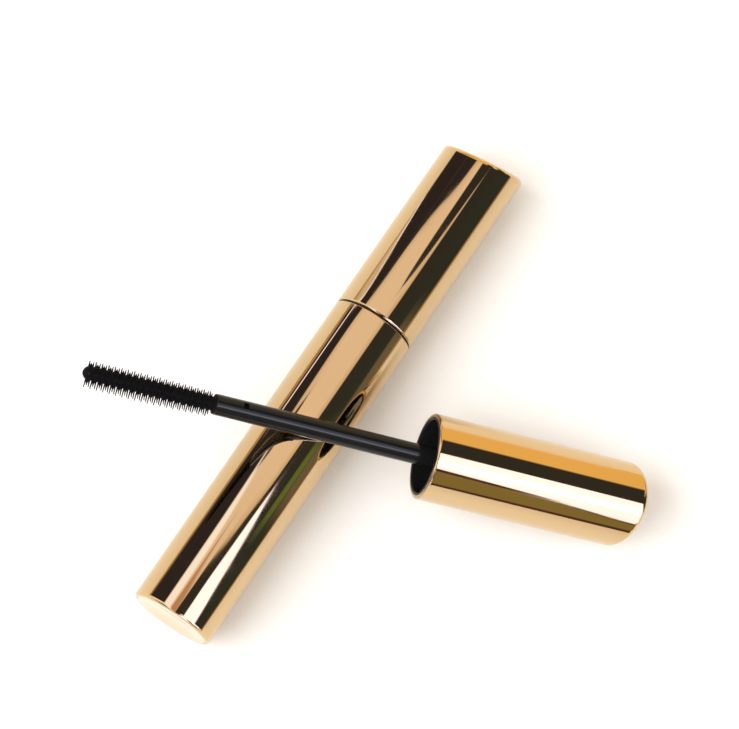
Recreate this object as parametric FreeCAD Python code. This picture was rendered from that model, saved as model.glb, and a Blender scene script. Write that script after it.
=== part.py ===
import FreeCAD, Part
import math
import os

from FreeCAD import Matrix, Placement, Vector

# A round, mirror-gold mascara with a slanted cap end, lying on a flat surface, and a second
# applicator of the same kind lying across it.  Millimetres.
# +Z is up.  The closed mascara's axis runs along +Y, from its base to its cap.  The origin is on
# the resting surface, under the middle of the whole object's box.
# Bottle pieces are drawn standing on their base, with the axis along their own +Z.  Applicator
# pieces are drawn with the cap's mouth at z = 0, the cap above it and the wand hanging below it.

# ---- driving sizes ----
OUTER_R = 9.5            # gold shells, bottle and cap alike
SHELL_WALL = 0.8
BOTTLE_LENGTH = 78.6     # base to seam
CAP_LENGTH = 45.9        # mouth to the middle of the slanted end
CAP_SLANT = 19.3         # degrees between the cap's end and a square cut
SEAM_GAP = 0.4           # between the bottle's shell and the cap's mouth
LINER_PROUD = 0.08       # how far the black liner stands out of the cap's mouth
STEM_R = 2.27
WAND_LENGTH = 76.7       # cap's mouth to the brush's tip
BRUSH_LENGTH = 29.1      # bristled part and its dome

# ---- fits ----
GLUE_GAP = 0.05          # between pieces fixed in each other
TURN_GAP = 0.15          # between pieces that turn or slide over each other
WIPER_GAP = 0.06         # radial, between the wiper's lip and the stem

# ---- how the pieces lie ----
CLOSED_CAP_TURN = 153.0  # degrees from straight up to the cap's long side, towards +X
OPEN_CAP_TURN = 2.5      # the same, on the second applicator
MOUTH_X = 25.2           # second applicator's mouth, from the closed one's axis and base
MOUTH_Y = 59.2
OPEN_HEADING = 23.3      # degrees from +X, mouth to cap end, in plan

FAR = 200.0              # longer than anything here


def tube(outer, inner, low, high):
    """A ring or tube about Z between two heights."""
    body = Part.makeCylinder(outer, high - low, Vector(0, 0, low))
    return body.cut(Part.makeCylinder(inner, high - low + 2.0, Vector(0, 0, low - 1.0)))


def turned(points):
    """A solid of revolution about Z from its (radius, height) outline."""
    corners = [Vector(r, 0, z) for r, z in points]
    outline = Part.makePolygon(corners + corners[:1])
    return Part.Face(outline).revolve(Vector(), Vector(0, 0, 1), 360)


def circles_at(shape, radius, height):
    """The shape's full circles about Z of one radius and height."""
    return [
        edge
        for edge in shape.Edges
        if isinstance(edge.Curve, Part.Circle)
        and abs(edge.Curve.Radius - radius) < 1e-4
        and abs(edge.Curve.Center.z - height) < 1e-4
    ]


def thread(root_r, crest_r, pitch, low, turns, root_width):
    """A tapering-sided helical rib about Z, sunk a little into the wall that it stands on."""
    sink = 0.15 if crest_r > root_r else -0.15
    half_root = root_width / 2
    half_crest = root_width / 5
    profile = Part.makePolygon([
        Vector(root_r - sink, 0, low - half_root),
        Vector(crest_r, 0, low - half_crest),
        Vector(crest_r, 0, low + half_crest),
        Vector(root_r - sink, 0, low + half_root),
        Vector(root_r - sink, 0, low - half_root),
    ])
    path = Part.makeHelix(pitch, pitch * turns, root_r)
    path.translate(Vector(0, 0, low))
    return Part.Wire(path.Edges).makePipeShell([profile], True, True)


# ---- the bottle ----
BASE_EDGE_R = 0.7        # rounding round the bottle's base
SLEEVE_TOP_R = 0.2
DISH_DEPTH = 0.6         # the underside's shallow hollow, at its middle
DISH_R = 7.0
BASE_FLOOR = 0.7         # plug's thickness there
PLUG_SKIRT = 5.0
PLUG_WALL = 0.5
SLEEVE_BORE = OUTER_R - SHELL_WALL
VIAL_R = SLEEVE_BORE - GLUE_GAP - PLUG_WALL - GLUE_GAP
VIAL_BORE = VIAL_R - 0.9
VIAL_FOOT = DISH_DEPTH + BASE_FLOOR + GLUE_GAP
VIAL_BOTTOM = 0.6
VIAL_SHOULDER = BOTTLE_LENGTH - 1.2
SHOULDER_WALL = 1.3
NECK_R = 6.3
NECK_BORE = 4.3
NECK_TOP = BOTTLE_LENGTH + 15.0
THREAD_PITCH = 3.0
THREAD_TURNS = 2.0
NECK_CREST = NECK_R + 0.55
NECK_THREAD_START = BOTTLE_LENGTH + 7.2
COLLAR_DEPTH = 8.0       # how far the shoulder collar reaches into the shell
COLLAR_RISE = 5.0        # and how far it stands above the seam
COLLAR_R = 7.95


def bottle_sleeve():
    sleeve = tube(OUTER_R, SLEEVE_BORE, 0, BOTTLE_LENGTH)
    sleeve = sleeve.makeFillet(BASE_EDGE_R, circles_at(sleeve, OUTER_R, 0))
    return sleeve.makeFillet(SLEEVE_TOP_R, circles_at(sleeve, OUTER_R, BOTTLE_LENGTH))


def base_plug():
    """A shallow cup pressed into the shell, with a gently hollowed underside."""
    outer = SLEEVE_BORE - GLUE_GAP
    cup = turned([
        (0, 0),
        (outer, 0),
        (outer, PLUG_SKIRT),
        (outer - PLUG_WALL, PLUG_SKIRT),
        (outer - PLUG_WALL, DISH_DEPTH + BASE_FLOOR),
        (0, DISH_DEPTH + BASE_FLOOR),
    ])
    curve_r = (DISH_R ** 2 + DISH_DEPTH ** 2) / (2 * DISH_DEPTH)
    return cup.cut(Part.makeSphere(curve_r, Vector(0, 0, DISH_DEPTH - curve_r)))


def vial():
    """The moulded inner bottle: it holds the mascara, and its threaded neck takes the cap."""
    body = turned([
        (0, VIAL_FOOT),
        (VIAL_R - 0.6, VIAL_FOOT),
        (VIAL_R, VIAL_FOOT + 0.6),
        (VIAL_R, VIAL_SHOULDER),
        (NECK_R, VIAL_SHOULDER),
        (NECK_R, NECK_TOP - 0.4),
        (NECK_R - 0.4, NECK_TOP),
        (NECK_BORE, NECK_TOP),
        (NECK_BORE, VIAL_SHOULDER - SHOULDER_WALL),
        (VIAL_BORE, VIAL_SHOULDER - SHOULDER_WALL - 2.5),
        (VIAL_BORE, VIAL_FOOT + VIAL_BOTTOM + 0.5),
        (VIAL_BORE - 0.5, VIAL_FOOT + VIAL_BOTTOM),
        (0, VIAL_FOOT + VIAL_BOTTOM),
    ])
    rib = thread(NECK_R, NECK_CREST, THREAD_PITCH, NECK_THREAD_START, THREAD_TURNS, 1.5)
    return body.fuse(rib)


def shoulder_collar():
    """The ring round the neck's foot that centres the cap on the bottle and retains the vial."""
    lip = COLLAR_RISE - 1.0
    top = BOTTLE_LENGTH + COLLAR_RISE
    skirt_bore = VIAL_R + GLUE_GAP
    return turned([
        (skirt_bore, BOTTLE_LENGTH - COLLAR_DEPTH),
        (SLEEVE_BORE - GLUE_GAP, BOTTLE_LENGTH - COLLAR_DEPTH),
        (SLEEVE_BORE - GLUE_GAP, BOTTLE_LENGTH - 0.3),
        (COLLAR_R, BOTTLE_LENGTH - 0.3),
        (COLLAR_R, top - 0.4),
        (COLLAR_R - 0.4, top),
        (NECK_R + GLUE_GAP, top),
        (NECK_R + GLUE_GAP, BOTTLE_LENGTH + lip),
        (COLLAR_R - 0.8, BOTTLE_LENGTH + lip),
        (COLLAR_R - 0.8, VIAL_SHOULDER + GLUE_GAP),
        (skirt_bore, VIAL_SHOULDER + GLUE_GAP),
    ])


def wiper():
    """The soft insert in the neck: its narrow lip strips the wand as it comes out."""
    outer = NECK_BORE - 0.02
    lip = STEM_R + WIPER_GAP
    flange = NECK_TOP + 0.02
    return turned([
        (outer, flange),
        (NECK_R - 0.7, flange),
        (NECK_R - 0.7, flange + 0.6),
        (outer - 0.55, flange + 0.6),
        (outer - 0.55, NECK_TOP - 6.0),
        (lip, NECK_TOP - 9.5),
        (lip, NECK_TOP - 10.5),
        (lip + 0.3, NECK_TOP - 10.5),
        (outer, NECK_TOP - 6.5),
    ])


def slip_ring():
    """The thin black ring in the seam that keeps the two gold shells from rubbing."""
    side = 0.03
    low = BOTTLE_LENGTH + side
    high = BOTTLE_LENGTH + SEAM_GAP - LINER_PROUD - side
    return tube(OUTER_R - 0.2, COLLAR_R + 0.08, low, high)


# ---- the applicator ----
CAP_WALL_TOP = 1.0
CAP_EDGE_R = 1.15
MOUTH_EDGE_R = 0.45      # rounding round the cap's mouth
LINER_R = OUTER_R - SHELL_WALL - GLUE_GAP
LINER_MOUTH_BORE = COLLAR_R + TURN_GAP
LINER_MOUTH_DEPTH = 6.2
LINER_BORE = NECK_CREST + 0.45
LINER_CREST = NECK_CREST + 0.12
WEB_LOW = 17.6           # the web across the liner that holds the wand's head
WEB_HIGH = 19.4
LINER_TOP = 30.0
SOCKET_R = 2.0
HEAD_FLANGE_R = 6.0
GASKET_LOW = NECK_TOP + 0.75 - BOTTLE_LENGTH - SEAM_GAP
GASKET_HIGH = WEB_LOW - 1.4
SHANK_R = 1.3
SHANK_LENGTH = 8.5
STEM_END = BRUSH_LENGTH - WAND_LENGTH
NOTCH_FROM_END = 6.4     # the window that the brush's snap lug shows in
NOTCH_TURN = -23.0       # degrees from the cap's long side
COMB_TURN = 88.0         # the same, to the long spikes
NOTCH_WIDTH = 1.4
NOTCH_HEIGHT = 1.1
BRUSH_CORE_R = 1.75
SPIKE_PITCH = 1.4
SPIKE_LINES = 14
SPIKE_ROOT_R = 0.26
SPIKE_TIP_R = 0.09
SHORT_SPIKE = 1.15       # on the curling side
LONG_SPIKE = 2.05        # on the combing side
SPIKE_STAGGER = 0.78     # height of every second line, as a part of the first


def slanted_block(middle_height):
    """Everything above a plane that crosses the axis at a height, long side towards +X."""
    block = Part.makeBox(FAR, FAR, FAR, Vector(-FAR / 2, -FAR / 2, 0))
    block.rotate(Vector(), Vector(0, 1, 0), -CAP_SLANT)
    block.translate(Vector(0, 0, middle_height))
    return block


def slanted_top_edges(shape, height):
    """The shape's edges on the slanted end at one height on the axis."""
    normal = Vector(-math.sin(math.radians(CAP_SLANT)), 0, math.cos(math.radians(CAP_SLANT)))
    found = []
    for edge in shape.Edges:
        points = [edge.valueAt(edge.FirstParameter + (edge.LastParameter - edge.FirstParameter) * part)
                  for part in (0.1, 0.5, 0.8)]
        if all(abs(normal.dot(point - Vector(0, 0, height))) < 1e-3 for point in points):
            found.append(edge)
    return found


def cap_shell():
    """The cap's gold shell, open at the mouth and closed by the slanted end."""
    outside = Part.makeCylinder(OUTER_R, CAP_LENGTH + OUTER_R).cut(slanted_block(CAP_LENGTH))
    outside = outside.makeFillet(CAP_EDGE_R, slanted_top_edges(outside, CAP_LENGTH))
    ceiling = CAP_LENGTH - CAP_WALL_TOP / math.cos(math.radians(CAP_SLANT))
    inside = Part.makeCylinder(OUTER_R - SHELL_WALL, CAP_LENGTH + OUTER_R, Vector(0, 0, -1.0))
    inside = inside.cut(slanted_block(ceiling))
    shell = outside.cut(inside)
    return shell.makeFillet(MOUTH_EDGE_R, circles_at(shell, OUTER_R, 0))


def cap_liner():
    """The black inner cap: a wide mouth over the collar, a threaded bore, and a web."""
    rim = -LINER_PROUD
    body = turned([
        (LINER_MOUTH_BORE + 0.25, rim),
        (LINER_R, rim),
        (LINER_R, LINER_TOP),
        (LINER_R - 1.2, LINER_TOP),
        (LINER_R - 1.2, WEB_HIGH),
        (SOCKET_R + 0.02, WEB_HIGH),
        (SOCKET_R + 0.02, WEB_LOW),
        (LINER_BORE, WEB_LOW),
        (LINER_BORE, LINER_MOUTH_DEPTH + 0.8),
        (LINER_MOUTH_BORE, LINER_MOUTH_DEPTH),
        (LINER_MOUTH_BORE, rim + 0.25),
    ])
    start = NECK_THREAD_START - BOTTLE_LENGTH - SEAM_GAP + THREAD_PITCH / 2
    rib = thread(LINER_BORE, LINER_CREST, THREAD_PITCH, start, THREAD_TURNS, 1.3)
    return body.fuse(rib)


def neck_gasket():
    """The washer that seals the neck's rim against the wand's head."""
    return tube(HEAD_FLANGE_R, STEM_R + GLUE_GAP, GASKET_LOW, GASKET_HIGH)


def stem():
    """The wand's rod: a flanged head snapped through the liner's web, and a socket for the brush."""
    flange_low = GASKET_HIGH + 0.02
    flange_high = WEB_LOW - 0.02
    socket_end = STEM_END + SHANK_LENGTH
    rod = turned([
        (SHANK_R + 0.03, STEM_END),
        (STEM_R - 0.15, STEM_END),
        (STEM_R, STEM_END + 0.15),
        (STEM_R, flange_low),
        (HEAD_FLANGE_R, flange_low),
        (HEAD_FLANGE_R, flange_high),
        (SOCKET_R - 0.02, flange_high),
        (SOCKET_R - 0.02, WEB_HIGH + 0.05),
        (SOCKET_R + 0.45, WEB_HIGH + 0.05),
        (SOCKET_R + 0.45, WEB_HIGH + 0.45),
        (SOCKET_R - 0.3, WEB_HIGH + 2.0),
        (0, WEB_HIGH + 2.0),
        (0, socket_end),
        (SHANK_R + 0.03, socket_end),
    ])
    window = block_out(STEM_R + 1.0, NOTCH_WIDTH, NOTCH_HEIGHT)
    return rod.cut(window)


def block_out(reach, width, height):
    """A block that reaches out from the axis where the stem's window is."""
    block = Part.makeBox(reach, width, height, Vector(0, -width / 2, STEM_END + NOTCH_FROM_END - height / 2))
    block.rotate(Vector(), Vector(0, 0, 1), NOTCH_TURN)
    return block


def spike_length(along, side):
    """A spike's height: along is 0 at the tip and 1 at the stem, side is 1 combing, 0 curling."""
    swell = 1.0 - 0.35 * along ** 2 - 0.22 * (1.0 - along) ** 3
    return (SHORT_SPIKE + (LONG_SPIKE - SHORT_SPIKE) * side) * swell


def brush():
    """The moulded brush: a core with a domed tip, its spikes, and the shank that plugs the stem."""
    tip = -WAND_LENGTH
    core = turned([
        (0, tip + BRUSH_CORE_R),
        (BRUSH_CORE_R, tip + BRUSH_CORE_R),
        (BRUSH_CORE_R, STEM_END - 0.6),
        (STEM_R - 0.1, STEM_END - 0.3),
        (STEM_R - 0.1, STEM_END - 0.02),
        (SHANK_R, STEM_END - 0.02),
        (SHANK_R, STEM_END + SHANK_LENGTH - 0.6),
        (SHANK_R - 0.5, STEM_END + SHANK_LENGTH - 0.1),
        (0, STEM_END + SHANK_LENGTH - 0.1),
    ])
    dome = Part.makeSphere(BRUSH_CORE_R, Vector(0, 0, tip + BRUSH_CORE_R))
    lug = block_out(STEM_R - 0.3, NOTCH_WIDTH - 0.4, NOTCH_HEIGHT - 0.4)
    low = tip + 1.1
    high = STEM_END - 1.0
    spikes = []
    for line in range(SPIKE_LINES):
        angle = 2 * math.pi * (line + 0.5) / SPIKE_LINES
        outward = Vector(math.cos(angle), math.sin(angle), 0)
        side = (1.0 + math.cos(angle - math.radians(COMB_TURN))) / 2
        second = line % 2
        z = low + SPIKE_PITCH / 2 * second
        while z < high:
            along = (z - low) / (high - low)
            height = spike_length(along, side) * (SPIKE_STAGGER if second else 1.0)
            foot = outward * (BRUSH_CORE_R - 0.25) + Vector(0, 0, z)
            spikes.append(Part.makeCone(SPIKE_ROOT_R, SPIKE_TIP_R, height + 0.25, foot, outward))
            z += SPIKE_PITCH
    return core.multiFuse([dome, lug] + spikes)


# ---- placing ----
def lying(x_axis, z_axis, origin):
    """The placement that takes a piece's own X and Z to two directions in the room."""
    y_axis = z_axis.cross(x_axis)
    matrix = Matrix(
        x_axis.x, y_axis.x, z_axis.x, origin.x,
        x_axis.y, y_axis.y, z_axis.y, origin.y,
        x_axis.z, y_axis.z, z_axis.z, origin.z,
        0, 0, 0, 1,
    )
    return Placement(matrix)


def turned_up(axis, degrees, sideways):
    """The direction square to an axis, turned from straight up towards sideways."""
    up = (Vector(0, 0, 1) - axis * axis.z).normalize()
    across = (sideways - axis * axis.dot(sideways) - up * up.dot(sideways)).normalize()
    angle = math.radians(degrees)
    return up * math.cos(angle) + across * math.sin(angle)


def open_rest():
    """Where the second applicator comes to rest: its stem on the closed mascara, its cap's end on
    the surface.  The tilt is found by halving."""
    heading = math.radians(OPEN_HEADING)
    touch = OUTER_R + STEM_R + 0.05
    reach = CAP_LENGTH - OUTER_R * math.tan(math.radians(CAP_SLANT))
    low, high = 0.0, math.radians(25)
    for _ in range(40):
        tilt = (low + high) / 2
        axis = Vector(math.cos(heading) * math.cos(tilt), math.sin(heading) * math.cos(tilt), -math.sin(tilt))
        mouth = Vector(MOUTH_X, MOUTH_Y, reach * math.sin(tilt) + OUTER_R * math.cos(tilt) + 0.02)
        square = Vector(0, 1, 0).cross(axis).normalize()
        apart = abs((mouth - Vector(0, 0, OUTER_R)).dot(square))
        if apart < touch:
            low = tilt
        else:
            high = tilt
    return mouth, axis


def applicator(prefix, placement):
    made = {
        "cap_shell": CAP_SHELL,
        "cap_liner": CAP_LINER,
        "neck_gasket": NECK_GASKET,
        "stem": STEM,
        "brush": BRUSH,
    }
    return {prefix + name: placed(shape, placement) for name, shape in made.items()}


def placed(shape, placement):
    moved = shape.copy()
    moved.Placement = placement
    return moved


CAP_SHELL = cap_shell()
CAP_LINER = cap_liner()
NECK_GASKET = neck_gasket()
STEM = stem()
BRUSH = brush()

along_y = Vector(0, 1, 0)
bottle_place = lying(Vector(0, 0, 1), along_y, Vector(0, 0, OUTER_R))
nodes = {
    "bottle_sleeve": placed(bottle_sleeve(), bottle_place),
    "base_plug": placed(base_plug(), bottle_place),
    "vial": placed(vial(), bottle_place),
    "shoulder_collar": placed(shoulder_collar(), bottle_place),
    "wiper": placed(wiper(), bottle_place),
    "slip_ring": placed(slip_ring(), bottle_place),
}
closed_long_side = turned_up(along_y, CLOSED_CAP_TURN, Vector(1, 0, 0))
closed_mouth = Vector(0, BOTTLE_LENGTH + SEAM_GAP, OUTER_R)
nodes.update(applicator("", lying(closed_long_side, along_y, closed_mouth)))
open_mouth, open_axis = open_rest()
open_long_side = turned_up(open_axis, OPEN_CAP_TURN, Vector(1, 0, 0))
nodes.update(applicator("open_", lying(open_long_side, open_axis, open_mouth)))

whole = Part.makeCompound(list(nodes.values())).optimalBoundingBox(False)
centring = Vector(-whole.Center.x, -whole.Center.y, 0)
os.makedirs("parts", exist_ok=True)
for name, shape in nodes.items():
    shape.translate(centring)
    shape.exportStep(f"parts/{name}.step")
    print(f"{name}: valid {shape.isValid()}, solids {len(shape.Solids)}, volume {shape.Volume:.1f}")
print(f"box {whole.XLength:.2f} x {whole.YLength:.2f} x {whole.ZLength:.2f}, lowest {whole.ZMin:.3f}")
print(f"shift {centring.x:.3f}, {centring.y:.3f}; mouth {open_mouth}, axis {open_axis}")
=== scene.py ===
import math

import bmesh
import bpy
from mathutils import Matrix, Vector


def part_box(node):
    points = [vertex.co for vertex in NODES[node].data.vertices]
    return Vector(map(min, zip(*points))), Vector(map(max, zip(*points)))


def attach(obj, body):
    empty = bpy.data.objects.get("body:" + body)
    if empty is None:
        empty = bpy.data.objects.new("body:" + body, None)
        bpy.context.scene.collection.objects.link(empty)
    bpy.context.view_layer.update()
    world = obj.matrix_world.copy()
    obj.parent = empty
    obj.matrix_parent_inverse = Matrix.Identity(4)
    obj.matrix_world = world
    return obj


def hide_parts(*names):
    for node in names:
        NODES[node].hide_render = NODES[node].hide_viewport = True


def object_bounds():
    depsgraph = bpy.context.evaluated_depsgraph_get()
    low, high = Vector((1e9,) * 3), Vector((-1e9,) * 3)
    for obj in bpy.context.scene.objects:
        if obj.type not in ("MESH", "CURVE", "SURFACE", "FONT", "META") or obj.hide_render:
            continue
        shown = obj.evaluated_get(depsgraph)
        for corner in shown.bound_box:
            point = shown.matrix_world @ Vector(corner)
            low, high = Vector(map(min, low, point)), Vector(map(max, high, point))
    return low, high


# A mirror-gold mascara with a second applicator laid across it, on a white sweep.
# Metres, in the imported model's frame: +Z is up and the closed mascara's axis runs along +Y.

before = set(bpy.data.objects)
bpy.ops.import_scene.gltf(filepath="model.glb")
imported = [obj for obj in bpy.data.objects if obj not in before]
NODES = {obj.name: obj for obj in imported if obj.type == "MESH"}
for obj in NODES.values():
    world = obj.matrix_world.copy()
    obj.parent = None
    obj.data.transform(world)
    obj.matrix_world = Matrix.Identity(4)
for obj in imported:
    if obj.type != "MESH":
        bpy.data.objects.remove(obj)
CAD_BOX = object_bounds()
MM = 0.001


# ---- materials ----
def shader(name, colour, metallic, roughness):
    """A new material, its node tree and its Principled shader."""
    made = bpy.data.materials.new(name)
    made.use_nodes = True
    tree = made.node_tree
    surface = tree.nodes["Principled BSDF"]
    surface.inputs["Base Color"].default_value = (*colour, 1)
    surface.inputs["Metallic"].default_value = metallic
    surface.inputs["Roughness"].default_value = roughness
    return made, tree, surface


def noise(tree, scale, detail=3.0, distortion=0.0):
    """Noise fixed to the piece. Scale is in cycles per metre."""
    place = tree.nodes.new("ShaderNodeTexCoord")
    texture = tree.nodes.new("ShaderNodeTexNoise")
    texture.inputs["Scale"].default_value = scale
    texture.inputs["Detail"].default_value = detail
    texture.inputs["Distortion"].default_value = distortion
    tree.links.new(place.outputs["Object"], texture.inputs["Vector"])
    return texture.outputs["Fac"]


def ramp(tree, value, low, high, to_low, to_high):
    """A value spread smoothly from one range to another."""
    spread = tree.nodes.new("ShaderNodeMapRange")
    spread.interpolation_type = "SMOOTHSTEP"
    spread.inputs["From Min"].default_value = low
    spread.inputs["From Max"].default_value = high
    spread.inputs["To Min"].default_value = to_low
    spread.inputs["To Max"].default_value = to_high
    tree.links.new(value, spread.inputs["Value"])
    return spread.outputs["Result"]


def tint(tree, value, first, second):
    """A colour between two, chosen by a value."""
    mix = tree.nodes.new("ShaderNodeMix")
    mix.data_type = "RGBA"
    mix.inputs["A"].default_value = (*first, 1)
    mix.inputs["B"].default_value = (*second, 1)
    tree.links.new(value, mix.inputs["Factor"])
    return mix.outputs["Result"]


def bump(tree, surface, value, height):
    """Relief of a real height, in metres."""
    relief = tree.nodes.new("ShaderNodeBump")
    relief.inputs["Distance"].default_value = height
    relief.inputs["Strength"].default_value = 1.0
    tree.links.new(value, relief.inputs["Height"])
    tree.links.new(relief.outputs["Normal"], surface.inputs["Normal"])


def gold(name, colour, roughness, waviness):
    """A plated mirror: a faint haze, a faint change of colour and a long, very low waviness."""
    made, tree, surface = shader(name, colour, 1.0, roughness)
    haze = noise(tree, 90, 5, distortion=0.6)
    dullness = ramp(tree, haze, 0.35, 0.75, roughness * 0.7, roughness * 1.6)
    tree.links.new(dullness, surface.inputs["Roughness"])
    paler = tuple(min(1, c * 1.03) for c in colour)
    deeper = tuple(c * 0.96 for c in colour)
    tree.links.new(tint(tree, noise(tree, 35, 2), paler, deeper), surface.inputs["Base Color"])
    bump(tree, surface, noise(tree, 160, 1), waviness)
    return made


def plastic(name, colour, roughness, grain_scale, grain_height, shine=0.5):
    """A moulded plastic with a fine grain."""
    made, tree, surface = shader(name, colour, 0.0, roughness)
    surface.inputs["Specular IOR Level"].default_value = shine
    grain = noise(tree, grain_scale, 4)
    dullness = ramp(tree, grain, 0.3, 0.7, roughness * 0.8, roughness * 1.25)
    tree.links.new(dullness, surface.inputs["Roughness"])
    paler = tuple(c * 1.5 + 0.002 for c in colour)
    mottle = tint(tree, noise(tree, grain_scale / 6, 3), colour, paler)
    tree.links.new(mottle, surface.inputs["Base Color"])
    bump(tree, surface, grain, grain_height)
    return made


MATERIALS = {
    "gold_shell": gold("gold_shell", (0.61, 0.43, 0.225), 0.035, 1e-6),
    "gold_trim": gold("gold_trim", (0.77, 0.63, 0.43), 0.1, 2e-6),
    "vial_plastic": plastic("vial_plastic", (0.012, 0.012, 0.013), 0.2, 2500, 2e-6, 0.35),
    "black_liner": plastic("black_liner", (0.007, 0.007, 0.007), 0.36, 3500, 6e-6, 0.25),
    "stem_plastic": plastic("stem_plastic", (0.006, 0.006, 0.006), 0.12, 1800, 2e-6, 0.2),
    "brush_elastomer": plastic("brush_elastomer", (0.0035, 0.0035, 0.004), 0.6, 5000, 4e-6, 0.04),
    "wiper_plastic": plastic("wiper_plastic", (0.6, 0.59, 0.55), 0.4, 3000, 4e-6),
    "gasket_foam": plastic("gasket_foam", (0.8, 0.8, 0.78), 0.8, 4000, 3e-5),
}
for piece in NODES.values():
    slot = piece.material_slots[0]
    slot.material = MATERIALS[slot.material.name.split(".")[0]]


# ---- shapes ----
def turned(outline, steps):
    """The points and faces of a (radius, height) outline turned round Z."""
    points = []
    for radius, height in outline:
        for step in range(steps):
            angle = 2 * math.pi * step / steps
            points.append((radius * math.cos(angle), radius * math.sin(angle), height))
    faces = []
    for ring in range(len(outline) - 1):
        for step in range(steps):
            low, after = ring * steps + step, ring * steps + (step + 1) % steps
            faces.append((low, after, after + steps, low + steps))
    return points, faces


def joined(name, parts, material):
    """One smooth mesh in metres from (points, faces) in millimetres, each with its own place."""
    points, faces = [], []
    for (part_points, part_faces), place in parts:
        first = len(points)
        points += [place @ Vector(point) * MM for point in part_points]
        faces += [[first + corner for corner in face] for face in part_faces]
    mesh = bpy.data.meshes.new(name)
    mesh.from_pydata(points, [], faces)
    build = bmesh.new()
    build.from_mesh(mesh)
    bmesh.ops.remove_doubles(build, verts=build.verts, dist=1e-8)
    build.to_mesh(mesh)
    build.free()
    mesh.shade_smooth()
    mesh.set_sharp_from_angle(angle=math.radians(50))
    mesh.materials.append(MATERIALS[material])
    return mesh


def put_in_place_of(node, body, mesh):
    """A detailed piece that stands in for a node and moves with its body."""
    piece = bpy.data.objects.new(mesh.name, mesh)
    bpy.context.scene.collection.objects.link(piece)
    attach(piece, body)
    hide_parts(node)


# ---- base plug ----
# Millimetres.  The same cup as the node's, with its hollow turned finely enough for a mirror.
DISH_DEPTH = 0.6
DISH_R = 7.0
PLUG_FLOOR = 0.7
PLUG_WALL = 0.5


def smooth_plug():
    """The base's plug: a cup that opens towards the bottle, with a gently hollowed underside."""
    low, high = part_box("base_plug")
    outer, skirt = (high.x - low.x) / 2 / MM, (high.y - low.y) / MM
    curve_r = (DISH_R ** 2 + DISH_DEPTH ** 2) / (2 * DISH_DEPTH)
    dish = []
    for step in range(15):
        away = DISH_R * step / 14
        dish.append((away, DISH_DEPTH - curve_r + math.sqrt(curve_r ** 2 - away ** 2)))
    cup = turned(dish + [
        (outer, 0),
        (outer, skirt),
        (outer - PLUG_WALL, skirt),
        (outer - PLUG_WALL, DISH_DEPTH + PLUG_FLOOR),
        (0, DISH_DEPTH + PLUG_FLOOR),
    ], 96)
    foot = Vector(((low.x + high.x) / 2, low.y, (low.z + high.z) / 2)) / MM
    place = Matrix.Translation(foot) @ Matrix.Rotation(math.radians(-90), 4, "X")
    mesh = joined("smooth_plug", [(cup, place)], "gold_trim")
    put_in_place_of("base_plug", "bottle", mesh)


smooth_plug()


# ---- brushes ----
# Millimetres, with the brush's tip at the origin, the cap along +Z and the cap's long side at +X.
BRUSH_LENGTH = 29.1
CORE_R = 1.5
SHOULDER_R = 2.17
SHANK_R = 1.3
STEM_GAP = 0.02             # between the shoulder and the stem's end
SPIKE_PITCH = 1.4
SPIKE_LINES = 14
FIRST_SPIKE = 1.1
LAST_SPIKE = BRUSH_LENGTH - 1.0
SPIKE_STEM = 0.25           # the part of every spike that has the same height
CURL_HEIGHT = 1.15          # the rest, on the curling side
COMB_EXTRA = 0.9            # and what the combing side adds to it
SECOND_LINES = 0.8          # how much lower every second line is
COMB_TURN = math.radians(88)
SPIKE_FOOT = 0.1            # how far a spike reaches into the core
SHANK_LENGTH = 8.3
LUG_R = 0.5
LUG_HALF_LENGTH = 0.35
LUG_REACH = 1.47
LUG_FROM_BRUSH = 6.4
LUG_TURN = math.radians(-23)
TIP_FROM_GASKET = 92.475    # brush's tip to the middle of the neck gasket
OPEN_AXIS = (0.904663, 0.389609, -0.172596)     # from the open brush's tip towards its cap


def spike_height(along, side, second):
    """A spike's height: along is 0 at the tip and 1 at the stem, side is 1 combing, 0 curling."""
    swell = 1.0 - 0.35 * along ** 2 - 0.22 * (1.0 - along) ** 3
    share = SECOND_LINES if second else 1.0
    return SPIKE_STEM + (CURL_HEIGHT + COMB_EXTRA * side) * swell * share


def spike(height):
    """A tapered spike with a rounded tip, standing on the core."""
    return turned([
        (0, -SPIKE_FOOT),
        (0.22, -SPIKE_FOOT),
        (0.15, height * 0.5),
        (0.11, height * 0.93),
        (0.06, height * 0.985),
        (0, height),
    ], 8)


def core():
    """The domed core, the shoulder at its end, and the shank that goes into the stem."""
    rise = [math.radians(15 * step) for step in range(7)]
    dome = [(CORE_R * math.sin(angle), CORE_R * (1 - math.cos(angle))) for angle in rise]
    return turned(dome + [
        (CORE_R, BRUSH_LENGTH - 0.6),
        (SHOULDER_R, BRUSH_LENGTH - 0.3),
        (SHOULDER_R, BRUSH_LENGTH - STEM_GAP),
        (SHANK_R, BRUSH_LENGTH - STEM_GAP),
        (SHANK_R, BRUSH_LENGTH + SHANK_LENGTH),
        (0, BRUSH_LENGTH + SHANK_LENGTH),
    ], 40)


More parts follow.
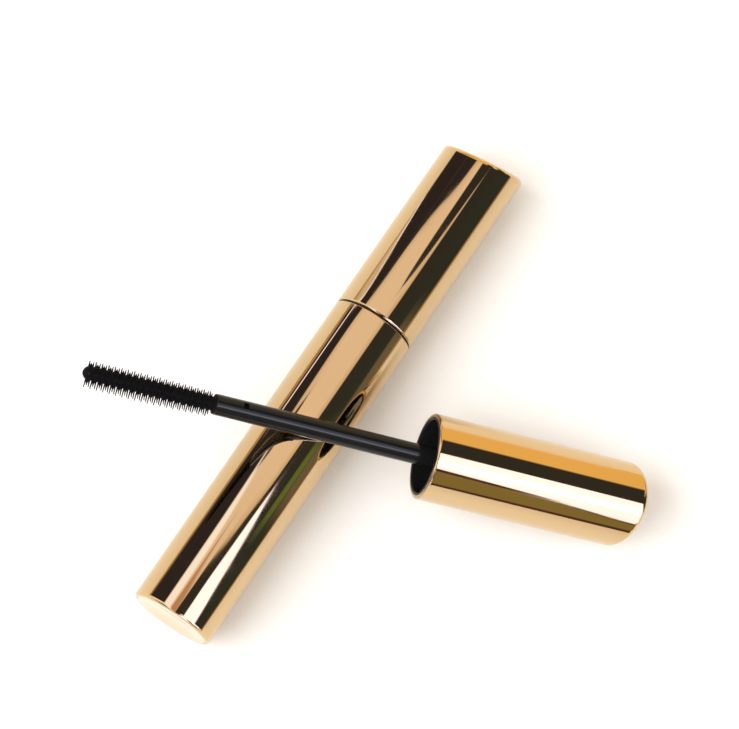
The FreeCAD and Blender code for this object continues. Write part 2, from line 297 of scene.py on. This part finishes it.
def brush_parts():
    """A domed core, rings of round-tipped spikes, and the lug that shows in the stem's window."""
    lug_foot = Matrix.Translation((LUG_REACH, 0, BRUSH_LENGTH + LUG_FROM_BRUSH))
    lug_place = Matrix.Rotation(LUG_TURN, 4, "Z") @ lug_foot
    lug = turned([
        (0, -LUG_HALF_LENGTH),
        (LUG_R, -LUG_HALF_LENGTH),
        (LUG_R, LUG_HALF_LENGTH),
        (0, LUG_HALF_LENGTH),
    ], 4)
    parts = [(core(), Matrix.Identity(4)), (lug, lug_place)]
    for line in range(SPIKE_LINES):
        angle = 2 * math.pi * (line + 0.5) / SPIKE_LINES
        outward = Vector((math.cos(angle), math.sin(angle), 0))
        side = (1.0 + math.cos(angle - COMB_TURN)) / 2
        height = FIRST_SPIKE + SPIKE_PITCH / 2 * (line % 2)
        while height < LAST_SPIKE:
            along = (height - FIRST_SPIKE) / (LAST_SPIKE - FIRST_SPIKE)
            foot = Matrix.Translation(outward * CORE_R + Vector((0, 0, height)))
            place = foot @ outward.to_track_quat("Z", "Y").to_matrix().to_4x4()
            parts.append((spike(spike_height(along, side, line % 2)), place))
            height += SPIKE_PITCH
    return parts


def brush_place(prefix, axis, long_side_turn):
    """Where a brush lies: its own Z along the wand, its X turned from straight up towards +X."""
    axis = Vector(axis).normalized()
    up = (Vector((0, 0, 1)) - axis * axis.z).normalized()
    across = axis.cross(up)
    if across.x < 0:
        across.negate()
    x_axis = up * math.cos(long_side_turn) + across * math.sin(long_side_turn)
    low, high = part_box(prefix + "neck_gasket")
    tip = (low + high) / 2 / MM - axis * TIP_FROM_GASKET
    turn = Matrix((x_axis, axis.cross(x_axis), axis)).transposed()
    return Matrix.Translation(tip) @ turn.to_4x4()


def brush(prefix, axis, long_side_turn):
    """A brush in place of one of the two brush nodes, with its turn in degrees."""
    place = brush_place(prefix, axis, math.radians(long_side_turn))
    parts = [(part, place @ own_place) for part, own_place in brush_parts()]
    mesh = joined(prefix + "moulded_brush", parts, "brush_elastomer")
    put_in_place_of(prefix + "brush", prefix + "applicator", mesh)


brush("", (0, 1, 0), 153.0)
brush("open_", OPEN_AXIS, 2.5)


# ---- floor ----
def turned_sheet(name, outline):
    """A surface turned round Z from its (radius, height) outline."""
    mesh = bpy.data.meshes.new(name)
    points, faces = turned(outline, 96)
    mesh.from_pydata(points, [], faces)
    mesh.shade_smooth()
    sheet = bpy.data.objects.new(name, mesh)
    bpy.context.scene.collection.objects.link(sheet)
    return sheet


FLOOR_MIDDLE = 0.3          # metres, like the rest here
FLOOR_REACH = 5.0
WALL_HEIGHT = 3.0
FLOOR_DROP = 0.02 * MM


def white_paper():
    """The floor's white paper, with a faint tooth."""
    made, tree, surface = shader("white_paper", (0.93, 0.925, 0.915), 0.0, 0.4)
    tree.links.new(ramp(tree, noise(tree, 900, 4), 0.3, 0.7, 0.34, 0.46), surface.inputs["Roughness"])
    bump(tree, surface, noise(tree, 2500, 3), 4e-6)
    return made


def backdrop_paper():
    """A wall that glows a little, so that low views have a pale background."""
    made, tree, surface = shader("backdrop_paper", (0.9, 0.9, 0.9), 0.0, 0.8)
    surface.inputs["Emission Color"].default_value = (1, 1, 1, 1)
    surface.inputs["Emission Strength"].default_value = 0.6
    bump(tree, surface, noise(tree, 60, 3), 1e-4)
    return made


def floor_and_backdrop():
    """A plain pale floor, and a wall far behind it that only the camera sees."""
    low = CAD_BOX[0].z - FLOOR_DROP
    floor = turned_sheet("floor", [(0, low), (FLOOR_MIDDLE, low), (FLOOR_REACH, low)])
    floor.data.materials.append(white_paper())
    wall = turned_sheet("backdrop", [(FLOOR_REACH, low), (FLOOR_REACH, low + WALL_HEIGHT)])
    wall.data.materials.append(backdrop_paper())
    for seen_by in ("visible_glossy", "visible_diffuse", "visible_shadow", "visible_transmission"):
        setattr(wall, seen_by, False)


floor_and_backdrop()


# ---- light ----
class Sky:
    """What the gold mirrors: a dark room with pale panels and a few warm things in it.  A direction
    is given as a long object sees it: how far it points along the object's axis, from -1 to 1, and
    its angle round that axis, in degrees from straight up."""

    def __init__(self, dark):
        self.world = bpy.data.worlds.new("studio")
        self.world.use_nodes = True
        self.tree = self.world.node_tree
        self.colour = self.tree.nodes.new("ShaderNodeRGB").outputs[0]
        self.colour.default_value = (*dark, 1)
        self.toward = self.tree.nodes.new("ShaderNodeTexCoord").outputs["Generated"]

    def math(self, operation, first, second=None):
        """The result of a sum on one or two values."""
        node = self.tree.nodes.new("ShaderNodeMath")
        node.operation = operation
        self.tree.links.new(first, node.inputs[0])
        if second is not None:
            self.tree.links.new(second, node.inputs[1])
        return node.outputs[0]

    def part_along(self, direction):
        """How far the direction looked in points along another one."""
        node = self.tree.nodes.new("ShaderNodeVectorMath")
        node.operation = "DOT_PRODUCT"
        node.inputs[1].default_value = direction
        self.tree.links.new(self.toward, node.inputs[0])
        return node.outputs["Value"]

    def look_along(self, axis, side):
        """From here on, bands are placed round this axis, with angles counted towards a side."""
        axis = Vector(axis).normalized()
        side = (Vector(side) - axis * axis.dot(Vector(side))).normalized()
        up = side.cross(axis)
        self.along = self.part_along(axis)
        self.angle = self.math("DEGREES", self.math("ARCTAN2", self.part_along(side), self.part_along(up)))

    def edge(self, points):
        """An angle that changes along the axis, through (along, angle) points."""
        (first, _), (last, _) = points[0], points[-1]
        spread = self.tree.nodes.new("ShaderNodeMapRange")
        spread.inputs["From Min"].default_value = first
        spread.inputs["From Max"].default_value = last
        self.tree.links.new(self.along, spread.inputs["Value"])
        curve = self.tree.nodes.new("ShaderNodeFloatCurve")
        line = curve.mapping.curves[0]
        spots = [((along - first) / (last - first), angle / 360 + 0.5) for along, angle in points]
        line.points[0].location = spots[0]
        line.points[1].location = spots[-1]
        for spot in spots[1:-1]:
            line.points.new(*spot)
        for point in line.points:
            point.handle_type = "AUTO_CLAMPED"
        curve.mapping.update()
        self.tree.links.new(spread.outputs["Result"], curve.inputs["Value"])
        back = self.tree.nodes.new("ShaderNodeMapRange")
        back.clamp = False
        back.inputs["To Min"].default_value = -180
        back.inputs["To Max"].default_value = 180
        self.tree.links.new(curve.outputs["Value"], back.inputs["Value"])
        return back.outputs["Result"]

    def within(self, value, low, high, soft):
        """One between two limits, nothing outside them, with soft steps."""
        rise = ramp(self.tree, value, low - soft, low + soft, 0, 1)
        fall = ramp(self.tree, value, high - soft, high + soft, 1, 0)
        return self.math("MULTIPLY", rise, fall)

    def band(self, left, right, colour, soft=1.5, ends=None, end_soft=0.01):
        """A soft-sided strip between two edges, over the whole axis or between two ends."""
        past_left = self.math("SUBTRACT", self.angle, self.edge(left))
        before_right = self.math("SUBTRACT", self.edge(right), self.angle)
        mask = self.math(
            "MULTIPLY",
            ramp(self.tree, past_left, -soft, soft, 0, 1),
            ramp(self.tree, before_right, -soft, soft, 0, 1),
        )
        if ends:
            mask = self.math("MULTIPLY", mask, self.within(self.along, *ends, end_soft))
        mix = self.tree.nodes.new("ShaderNodeMix")
        mix.data_type = "RGBA"
        mix.inputs["B"].default_value = (*colour, 1)
        self.tree.links.new(mask, mix.inputs["Factor"])
        self.tree.links.new(self.colour, mix.inputs["A"])
        self.colour = mix.outputs["Result"]

    def hang(self):
        """Put it round the scene. It doesn't light anything matt: the suns do."""
        self.tree.links.new(self.colour, self.tree.nodes["Background"].inputs["Color"])
        self.world.cycles_visibility.diffuse = False
        bpy.context.scene.world = self.world


# Linear colours of the surroundings. Where one is above 1, the gold shows it nearly white.
DARK = (0.048, 0.050, 0.055)
DARK_PLUM = (0.041, 0.037, 0.049)
DARK_GREEN = (0.044, 0.056, 0.060)
TAN = (1.21, 1.08, 1.04)
TAN_SHADE = (1.02, 0.86, 0.75)
CREAM = (1.59, 1.75, 2.40)
WHITE = (2.20, 2.31, 3.70)
PALE = (1.37, 1.26, 1.27)
CORE = (9.0, 9.0, 8.5)
BEIGE = (0.99, 0.86, 0.75)
BROWN = (0.68, 0.47, 0.26)
OLIVE = (0.34, 0.29, 0.11)
MOSS = (0.22, 0.20, 0.16)
GREEN = (0.187, 0.282, 0.078)
AMBER = (1.30, 0.88, 0.32)
HAZE = (1.34, 1.22, 1.19)
RUST = (0.77, 0.47, 0.38)
PLUM = (0.110, 0.051, 0.052)


def moved(edge, degrees):
    """The same edge, turned round the axis."""
    return [(along, angle + degrees) for along, angle in edge]


# Each edge below is a list of (along, angle) points, and each band lies over those before it.
sky = Sky(DARK)
sky.look_along((0, 1, 0), (1, 0, 0))
sky.band([(0.1, -125), (0.3, -125)], [(0.1, -20), (0.3, -20)], DARK_PLUM, soft=15)
sky.band([(0.1, 45), (0.3, 45)], [(0.1, 100), (0.3, 100)], DARK_GREEN, soft=20)

# the wide panel overhead, fading towards its edges
panel_left = [
    (0.17, -38), (0.21, -40), (0.245, -47), (0.275, -51), (0.29, -45),
    (0.305, -43), (0.317, -37), (0.328, -24), (0.34, -19),
]
panel_right = [
    (0.175, -6), (0.197, 7), (0.21, 13), (0.223, 19), (0.25, 20.3),
    (0.277, 20.5), (0.29, 21.8), (0.33, 21.5), (0.36, 15), (0.6, 0),
]
sky.band(panel_left, panel_right, TAN_SHADE)
sky.band(moved(panel_left, 6), moved(panel_right, -7), TAN, soft=6)

# paler things at the near side, apart from a dark gap overhead
sky.band([(-0.5, -120), (0.16, -120)], [(-0.5, -6), (0.16, -6)], PALE, ends=(-0.7, 0.158), end_soft=0.006)
sky.band([(-0.5, 12), (0.16, 12)], [(-0.5, 120), (0.16, 120)], PALE, ends=(-0.7, 0.158), end_soft=0.006)

# the cream card at its near corner, with a brown streak beside it, and a dark leaf in front
sky.band([(0.17, -38), (0.21, -40), (0.24, -46)], [(0.165, -20), (0.20, -24), (0.24, -49)], CREAM, soft=3)
sky.band([(0.17, -17), (0.217, -15)], [(0.17, -5), (0.19, -11), (0.217, -18)], RUST, soft=1.5)
sky.band([(0.219, -37), (0.23, -41.5), (0.243, -40.5), (0.254, -36.5)],
         [(0.219, -40), (0.23, -34.5), (0.243, -34), (0.254, -38.5)], PLUM, soft=1.2)

# a dark notch in the panel's far end
sky.band([(0.29, 8), (0.297, 3), (0.302, 1.2), (0.315, -1), (0.336, -2.5), (0.5, -30)],
         [(0.29, 4), (0.297, 10), (0.302, 12.7), (0.315, 16.5), (0.328, 19), (0.338, 21), (0.5, 30)],
         DARK, soft=0.8)

# the bright window beside the panel
sky.band([(-0.5, 22), (0.171, 22), (0.184, 21), (0.197, 23), (0.21, 24.5), (0.226, 29)],
         [(-0.5, 78), (0.1, 74), (0.16, 62), (0.171, 58.5), (0.184, 51), (0.197, 44.6),
          (0.21, 36), (0.22, 28), (0.226, 24)], WHITE)

# low things on both sides
sky.band([(0.205, 51), (0.24, 52.5)], [(0.205, 64), (0.24, 66)], GREEN, soft=3, ends=(0.208, 0.242))
sky.band([(0.21, 67), (0.28, 64)], [(0.21, 86), (0.28, 86)], MOSS, soft=4, ends=(0.214, 0.287))
beige_right = [(0.27, -68), (0.285, -67), (0.295, -72), (0.31, -83), (0.325, -94), (0.34, -100)]
sky.band([(0.27, -100), (0.34, -100)], beige_right, BEIGE, soft=1.0, ends=(0.281, 0.35), end_soft=0.001)
sky.band([(0.1, -110), (0.35, -110)], [(0.1, -88), (0.21, -84), (0.25, -82), (0.30, -86), (0.35, -92)],
         BROWN, soft=3)
sky.band([(0.1, 86), (0.24, 87), (0.27, 85), (0.35, 86)], [(0.1, 120), (0.35, 120)], BROWN, soft=2.5)
lit_edge = [(0.24, -76), (0.28, -75), (0.285, -68), (0.295, -73), (0.31, -84), (0.325, -95)]
sky.band([(0.235, -74)] + lit_edge, [(0.235, -76)] + moved(lit_edge, 1.8), WHITE, soft=0.8)

# the amber wall behind, past the cap
sky.band([(0.5, -180), (1.0, -180)], [(0.5, 180), (1.0, 180)], AMBER, ends=(0.73, 1.5), end_soft=0.03)
sky.band([(0.3, -120), (0.8, -120)], [(0.3, 10), (0.8, 4)], AMBER, soft=3, ends=(0.375, 1.5), end_soft=0.012)

# stripes on that wall, for views from the base's side
for left, right, colour in ((-75, -55, BROWN), (25, 38, TAN), (44, 68, DARK_GREEN)):
    sky.band([(0.5, left), (1.0, left)], [(0.5, right), (1.0, right)], colour, soft=4,
             ends=(0.55, 0.97), end_soft=0.04)

# what only the open cap and its wand see
sky.look_along((0.905, 0.39, -0.172), (0.395, -0.918, 0))
olive_left = [(0.28, 44), (0.32, 47), (0.345, 58)]
sky.band(olive_left, [(0.28, 120), (0.345, 120)], OLIVE, soft=2, ends=(0.1, 0.6))
sky.band([(0.28, 36.5), (0.315, 43), (0.33, 47)], [(0.28, 45), (0.315, 47), (0.33, 45)],
         PLUM, soft=1.0, ends=(0.1, 0.6))
sky.band([(0.32, 47), (0.33, 50), (0.345, 56.5)], [(0.32, 46), (0.33, 53), (0.345, 60)],
         PLUM, soft=1.0, ends=(0.1, 0.6))
sky.band([(0.28, 81), (0.345, 79)], [(0.28, 120), (0.345, 120)], PLUM, soft=1.5, ends=(0.1, 0.6))
sky.band([(0.28, -100), (0.345, -100)], [(0.28, -80), (0.345, -84)], HAZE, soft=7,
         ends=(0.1, 0.338), end_soft=0.006)
sky.band([(0.1, 17), (0.4, 17)], [(0.1, 26), (0.4, 26)], CORE, soft=5, ends=(0.12, 0.36))
sky.hang()


def sun(name, toward, strength, spread, colour):
    """A soft light that the gold doesn't mirror: spread is its width in the sky, in degrees."""
    light = bpy.data.lights.new(name, "SUN")
    light.energy = strength
    light.color = colour
    light.angle = math.radians(spread)
    lamp = bpy.data.objects.new(name, light)
    lamp.rotation_euler = Vector(toward).to_track_quat("Z", "Y").to_euler()
    lamp.visible_glossy = False
    bpy.context.scene.collection.objects.link(lamp)


# the key light stands 40 degrees up on the base's left, and the fill comes from the whole sky
sun("key", (-0.545, -0.538, 0.643), 2.9, 55, (0.94, 1.0, 1.08))
sun("fill", (0, 0, 1), 2.9, 179, (1.0, 0.92, 0.81))

bpy.context.scene.view_settings.view_transform = "Standard"


# ---- camera ----
VIEW_ELEVATION = 74.41      # degrees above the horizon
VIEW_AZIMUTH = 3.15         # degrees from looking along +Y
VIEW_ROLL = -31.11          # degrees
VIEW_DISTANCE = 0.6828
VIEW_LENS = 152.85          # on a 36 mm wide sensor
AIM_FROM_SLEEVE = Vector((13.68, 70.47, 12.0)) * MM     # from the low corner of the sleeve's box


def camera():
    """Nearly overhead, turned so that the closed mascara lies along a diagonal."""
    data = bpy.data.cameras.new("camera")
    data.lens = VIEW_LENS
    data.sensor_width = 36.0
    data.sensor_fit = "HORIZONTAL"
    data.clip_start = 0.01
    eye = bpy.data.objects.new("camera", data)
    elevation, azimuth = math.radians(VIEW_ELEVATION), math.radians(VIEW_AZIMUTH)
    back = Vector((
        math.sin(azimuth) * math.cos(elevation),
        -math.cos(azimuth) * math.cos(elevation),
        math.sin(elevation),
    ))
    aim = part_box("bottle_sleeve")[0] + AIM_FROM_SLEEVE
    level = (-back).to_track_quat("-Z", "Y").to_matrix()
    rolled = level @ Matrix.Rotation(math.radians(-VIEW_ROLL), 3, "Z")
    eye.matrix_world = Matrix.Translation(aim + back * VIEW_DISTANCE) @ rolled.to_4x4()
    bpy.context.scene.collection.objects.link(eye)
    bpy.context.scene.camera = eye


camera()
